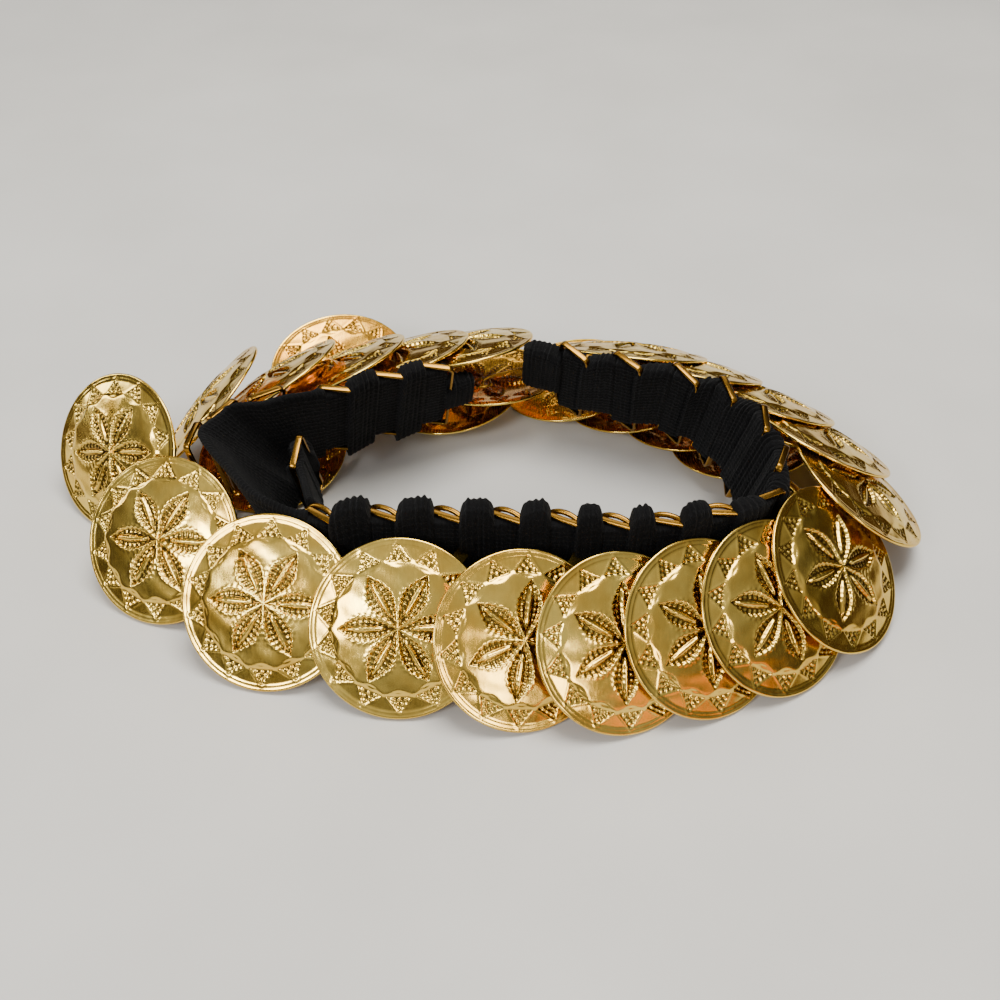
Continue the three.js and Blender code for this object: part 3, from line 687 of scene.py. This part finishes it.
STRIP_SHADOW = FRAME_WIDTH / 2 * math.sin(FRAME_YAW)
PAST_FRAME = FRAME_LENGTH / 2 * math.cos(FRAME_YAW) + STRIP_SHADOW + GAP
WINDOW_HALF = FRAME_HEIGHT / 2 - FRAME_STRIP - GAP
WINDOW_WALL = 3.6                            # gathered thickness inside a frame
WINDOW_SECTIONS, CREASE_DEPTH = 13, 0.15
WINDOW_REACH = 3.7                           # the knit is thin this far either side of a frame
OVER_UPRIGHT = 4.6                           # half thickness that hides a frame's upright
UNDER_UPRIGHT = 2.3                          # half thickness on a puff's other side
RIB_PITCH, RIB_DEPTH, RIB_STEPS = 1.75, 0.42, 6
EDGE_ROUND, WINDOW_ROUND = 3.4, 1.0          # rounding of the top and bottom edges
FOOT_SHARE, EDGE_SHARE = 0.55, 0.12          # thickness left at the foot and at other edges
THIN_HALF = 0.4                              # the least half thickness of a puff
PUFF_EDGE_RISE, PUFF_EDGE_DROP = 1.0, 2.0    # a puff's ends: highest, and under its middle
PLAIN_STEP = 0.8                             # between sections of a bare stretch
SIDE_POINTS = 19                             # points up one side of a section
FADE = 4.0                                   # a bare stretch thins out over this
chance = random.Random(7)


def shifted(place, distance):
    return {**place, "middle": place["middle"] + place["along"] * distance}


def section(place, outer, inner, top, grounded):
    return {**place, "outer": outer, "inner": inner, "top": top, "grounded": grounded}


def window_sections(place):
    """The knit pulled thin inside a frame, between the uprights, with slight upright creases."""
    made = []
    for part in np.linspace(-1, 1, WINDOW_SECTIONS):
        crease = CREASE_DEPTH * math.sin(part * 11.0)
        made.append(section(shifted(place, part * WINDOW_REACH), WINDOW_WALL / 2 + crease,
                            WINDOW_WALL / 2 - crease, WINDOW_HALF, False))
    return made


def between(start, end, part):
    a, d = start["middle"], end["middle"]
    reach = np.linalg.norm(d - a)
    b, c = a + start["along"] * reach / 3, d - end["along"] * reach / 3
    rest = 1 - part
    middle = rest ** 3 * a + 3 * rest ** 2 * part * b + 3 * rest * part ** 2 * c + part ** 3 * d
    up = unit(mix(start["up"], end["up"], part))
    along = across_to(mix(start["along"], end["along"], part), up)
    return make_place(middle, along, up, mix(start["base"], end["base"], part), False)


def plain_sections(start, end, rise):
    """A bare stretch, thicker where it leaves a frame's upright."""
    reach = np.linalg.norm(end["middle"] - start["middle"])
    steps = max(4, round(reach / PLAIN_STEP))
    made = []
    for k in range(steps + 1):
        part = k / steps
        near_start = (1 - min(part * reach / FADE, 1)) ** 2 if start["framed"] else 0.0
        near_end = (1 - min((1 - part) * reach / FADE, 1)) ** 2 if end["framed"] else 0.0
        half = PLAIN_WALL / 2
        made.append(section(between(start, end, part),
                            mix(half, OVER_UPRIGHT, near_end), mix(half, OVER_UPRIGHT, near_start),
                            BAR_SPAN / 2 + rise, True))
    return made


def puff_sections(start, end, rise, halves, shut=(False, False)):
    """A gathered puff with upright ribs, each a little different. halves are its half
    thicknesses outwards and inwards at the start and at the end; a shut end is rounded off."""
    reach = np.linalg.norm(end["middle"] - start["middle"])
    ribs = max(3, round(reach / RIB_PITCH))
    depths = [RIB_DEPTH * chance.uniform(0.6, 1.25) for _ in range(ribs)]
    tops = [chance.uniform(-0.5, 0.5) for _ in range(ribs)]
    lean = chance.uniform(-0.35, 0.35)
    steps = ribs * RIB_STEPS
    made = []
    for k in range(steps + 1):
        part = k / steps
        rib = min(k // RIB_STEPS, ribs - 1)
        crown = 0.5 - 0.5 * math.cos(2 * math.pi * k / RIB_STEPS)
        away = abs(2 * part - 1 + lean * part * (1 - part))
        dome = 1 - min(away, 1.0) ** (3 if any(shut) else 5)
        shrink = 1.0
        if (shut[0] and part < 0.5) or (shut[1] and part >= 0.5):
            shrink = math.sqrt(max(1 - away ** 4, 0.02))
        valley = depths[rib] * (1 - crown)
        outer = mix(halves[0][0], halves[1][0], part) * shrink - valley
        inner = mix(halves[0][1], halves[1][1], part) * shrink - valley
        edge_rise = min(PUFF_EDGE_RISE, rise - PUFF_EDGE_DROP)
        top = (BAR_SPAN / 2 + mix(edge_rise, rise, dome)
               + tops[rib] * crown - 0.5 * (1 - crown))
        made.append(section(between(start, end, part), max(outer, THIN_HALF),
                            max(inner, THIN_HALF), top, True))
    return made


def knit_sections(places, end_lengths):
    def entry(place):
        return shifted(place, -WINDOW_REACH) if place["framed"] else place

    def leave(place):
        return shifted(place, WINDOW_REACH) if place["framed"] else place

    first = {**entry(places[0]), "base": END_BASE}
    last = {**leave(places[-1]), "base": END_BASE}
    both = (END_WALL / 2, END_WALL / 2)
    outside, inside = (OVER_UPRIGHT, UNDER_UPRIGHT), (UNDER_UPRIGHT, OVER_UPRIGHT)
    past = PAST_FRAME - WINDOW_REACH
    rises = iter(TAB_RISES)
    made = []
    if end_lengths[0] > 0:
        made += puff_sections(shifted(first, -end_lengths[0] - past), first, END_RISES[0],
                              (both, (OVER_UPRIGHT, END_WALL / 2)), (True, False))
    for i, place in enumerate(places):
        if place["framed"]:
            made += window_sections(place)
        if i + 1 == len(places):
            break
        after = places[i + 1]
        if place["framed"] and after["framed"]:
            made += puff_sections(leave(place), entry(after), next(rises), (inside, outside))
        else:
            stretch = plain_sections(leave(place), entry(after), PLAIN_RISE)
            made += stretch[1:] if made and not place["framed"] else stretch
    if end_lengths[1] > 0:
        made += puff_sections(last, shifted(last, end_lengths[1] + past), END_RISES[1],
                              ((END_WALL / 2, OVER_UPRIGHT), both), (False, True))
    return made


def knit_ring(s):
    """Points round one section, up its outside and down its inside, with rounded edges."""
    middle, up, out = s["middle"], s["up"], s["out"]
    bottom = (middle[2] - s["base"]) / up[2] if s["grounded"] else WINDOW_HALF
    tall = bottom + s["top"]
    parts = 0.5 - 0.5 * np.cos(np.linspace(0, math.pi, SIDE_POINTS))
    round_over = EDGE_ROUND if s["grounded"] else WINDOW_ROUND
    ring = []
    for side, wall in ((1, s["outer"]), (-1, s["inner"])):
        for part in parts if side > 0 else parts[::-1]:
            edge = min(part, 1 - part) * tall
            share = math.sqrt(max(1 - (1 - min(edge / round_over, 1)) ** 2, 0))
            low = FOOT_SHARE if s["grounded"] and part < 0.5 else EDGE_SHARE
            offset = side * wall * (low + (1 - low) * share)
            ring.append(middle + out * offset + up * (part * tall - bottom))
    if s["grounded"]:
        ring[0][2] = ring[-1][2] = s["base"]
    return ring


def signed_volume(points, faces):
    return sum(np.dot(points[f[0]], np.cross(points[f[k]], points[f[k + 1]]))
               for f in faces for k in range(1, len(f) - 1))


def make_knit(name, node, places, end_lengths):
    """A closed shell of knit that follows the band, with its own map of the cloth."""
    sections = knit_sections(places, end_lengths)
    rings = np.array([knit_ring(s) for s in sections])
    count, sides = rings.shape[:2]
    points = rings.reshape(-1, 3) + BELT_SHIFT
    faces = [(i * sides + k, i * sides + (k + 1) % sides, (i + 1) * sides + (k + 1) % sides,
              (i + 1) * sides + k) for i in range(count - 1) for k in range(sides)]
    faces += [tuple(reversed(range(sides))), tuple(range((count - 1) * sides, count * sides))]
    if signed_volume(points, faces[:sides * (count - 1)]) < 0:
        faces = [tuple(reversed(f)) for f in faces]
    piece = mesh_object(name, points, faces)
    steps = np.linalg.norm(np.diff([s["middle"] for s in sections], axis=0), axis=1)
    along = np.concatenate([[0.0], np.cumsum(steps)])
    around = np.concatenate([[0.0], np.cumsum(np.linalg.norm(np.diff(rings[0], axis=0), axis=1))])
    cloth = piece.data.uv_layers.new(name="cloth")
    corners = np.zeros(len(piece.data.loops), int)
    piece.data.loops.foreach_get("vertex_index", corners)
    flat = np.stack([along[corners // sides], around[corners % sides]], 1) * MM
    cloth.data.foreach_set("uv", flat.ravel())
    piece.data.materials.append(knit)
    settle(piece, node)
    return piece


band = make_knit("gathered_knit_band", "knit_band", band_places, END_LENGTHS)
fold = make_knit("knit_inner_fold", "knit_fold", fold_places, (0.0, END_LENGTHS[1] / 2))


# ---------- hook and eye ----------

WIRE_SIDES, EYE_POINTS = 14, 36


def smooth_way(points, steps):
    """A Catmull-Rom way through the points."""
    ends = [2 * points[0] - points[1], *points, 2 * points[-1] - points[-2]]
    way = []
    for a, b, c, d in zip(ends, ends[1:], ends[2:], ends[3:]):
        for t in np.linspace(0, 1, steps, endpoint=False):
            way.append(0.5 * (2 * b + (c - a) * t + (2 * a - 5 * b + 4 * c - d) * t ** 2
                              + (3 * b - a - 3 * c + d) * t ** 3))
    return np.array(way + [points[-1]])


def wire_tree():
    """Round wire along a line of points."""
    tree = bpy.data.node_groups.new("round_wire", "GeometryNodeTree")
    socket(tree, "Line", "NodeSocketObject")
    socket(tree, "Radius", "NodeSocketFloat")
    given = add(tree, "NodeGroupInput").outputs
    line = add(tree, "GeometryNodeObjectInfo", inputs={"Object": given["Line"]})
    curve = add(tree, "GeometryNodeMeshToCurve", inputs={0: line.outputs["Geometry"]})
    section = add(tree, "GeometryNodeCurvePrimitiveCircle", inputs={
        "Resolution": WIRE_SIDES, "Radius": given["Radius"]})
    wire = add(tree, "GeometryNodeCurveToMesh", inputs={
        "Curve": curve.outputs[0], "Profile Curve": section.outputs[0], "Fill Caps": True})
    smooth = add(tree, "GeometryNodeSetShadeSmooth", inputs={"Geometry": wire.outputs[0]})
    coated = finish_tree(tree, smooth.outputs[0], gold_wire)
    add(tree, "NodeGroupOutput", inputs={0: coated.outputs[0]})
    return tree


def make_wire(name, points, closed, radius=WIRE_RADIUS):
    mesh = bpy.data.meshes.new(name + "_line")
    count = len(points)
    edges = [(k, (k + 1) % count) for k in range(count if closed else count - 1)]
    mesh.from_pydata([tuple(p) for p in (points + BELT_SHIFT) * MM], edges, [])
    line = bpy.data.objects.new(name + "_line", mesh)
    scene.collection.objects.link(line)
    piece = plain_mesh(round_wire, name, {"Line": line, "Radius": radius * MM})
    bpy.data.objects.remove(line)
    return piece


round_wire = wire_tree()
settle(make_wire("wire_hook", smooth_way([np.array(p) for p in HOOK_POINTS], 6), False),
       "hook")
ring_angle = np.linspace(0, 2 * math.pi, EYE_POINTS, endpoint=False)
eye_line = np.stack([EYE_RADIUS * np.cos(ring_angle), EYE_RADIUS * np.sin(ring_angle),
                     np.zeros(EYE_POINTS)], 1) + np.array(EYE_AT)
settle(make_wire("wire_eye", eye_line, True), "eye")

# Behind the upper bar of each front frame a low arch of wire shows, soldered to both uprights.
ARCH_FRAMES, ARCH_RADIUS = range(8, 16), 0.85
ARCH_POINTS = [(-5.6, 12.0, 0.6), (-5.0, 15.2, 1.5), (-2.8, 16.4, 2.2), (0.4, 16.9, 2.5),
               (3.4, 16.5, 2.3), (5.2, 15.2, 1.6), (5.6, 12.0, 0.6)]
for number in ARCH_FRAMES:
    matrix = frame_matrices[number - 1]
    way = smooth_way([np.array(matrix @ Vector(p)) for p in ARCH_POINTS], 5)
    arch = make_wire(f"rear_arch_{number:02d}", way, False, ARCH_RADIUS)
    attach(arch, BODY)

# ---------- floor, light and camera ----------

floor_mesh = bpy.data.meshes.new("floor")
floor_mesh.from_pydata([(-3, -3, 0), (3, -3, 0), (3, 3, 0), (-3, 3, 0)], [], [(0, 1, 2, 3)])
floor = bpy.data.objects.new("floor", floor_mesh)
floor_mesh.materials.append(painted_floor("pale_matt_paint"))
scene.collection.objects.link(floor)


def soft_box(name, spot, aim, size, power, colour):
    lamp = bpy.data.lights.new(name, "AREA")
    lamp.shape, lamp.size, lamp.size_y = "RECTANGLE", size[0], size[1]
    lamp.energy = power
    lamp.color = rgb(colour)[:3]
    box = bpy.data.objects.new(name, lamp)
    box.location = spot
    box.rotation_euler = (Vector(aim) - Vector(spot)).to_track_quat("-Z", "Y").to_euler()
    scene.collection.objects.link(box)


soft_box("overhead_box", (0.12, 0.08, 1.05), (0, 0, 0), (0.55, 0.62), 16.0, "#fffcf4")
soft_box("back_high_box", (0.0, 0.8, 0.74), (0, 0, 0.04), (1.0, 0.24), 2.4, "#fffdf2")
soft_box("front_left_box", (-0.62, -0.75, 0.72), (0, 0, 0.02), (0.34, 0.3), 7.0, "#ffffff")
soft_box("front_right_box", (0.4, -1.0, 0.55), (0, 0, 0.02), (0.26, 0.36), 3.6, "#fff2dc")
soft_box("left_strip", (-0.9, 0.15, 0.45), (0, 0, 0.02), (0.16, 0.5), 2.4, "#fffdf8")
soft_box("warm_low_box", (0.75, -0.75, 0.16), (0, 0, 0.02), (0.5, 0.2), 0.42, "#ffa030")

world = bpy.data.worlds.new("studio")
world.use_nodes = True
scene.world = world
sky = world.node_tree
sky.nodes.clear()
_, sky_back, sky_up = add(sky, "ShaderNodeSeparateXYZ", inputs={
    0: add(sky, "ShaderNodeTexCoord").outputs["Generated"]}).outputs
lowered = add(sky, "ShaderNodeMath", {"operation": "MULTIPLY"}, {0: sky_back, 1: 0.35})
sky_part = add(sky, "ShaderNodeMath", {"operation": "SUBTRACT"}, {0: sky_up, 1: lowered})
sky_light = add(sky, "ShaderNodeValToRGB", inputs={0: sky_part}, stops=[
    (0.0, "#5a4630"), (0.35, "#4a4644"), (0.95, "#dcdee2")])
sky_shader = add(sky, "ShaderNodeBackground", inputs={"Color": sky_light, "Strength": 0.75})
add(sky, "ShaderNodeOutputWorld", inputs={"Surface": sky_shader})

lens = bpy.data.cameras.new("camera")
lens.sensor_width, lens.lens = 36.0, 43.2
camera = bpy.data.objects.new("camera", lens)
camera.location = (0.0063, -0.2969, 0.279)
camera.rotation_euler = (math.radians(90 - 42.6), 0.0, 0.0)
scene.collection.objects.link(camera)
scene.camera = camera
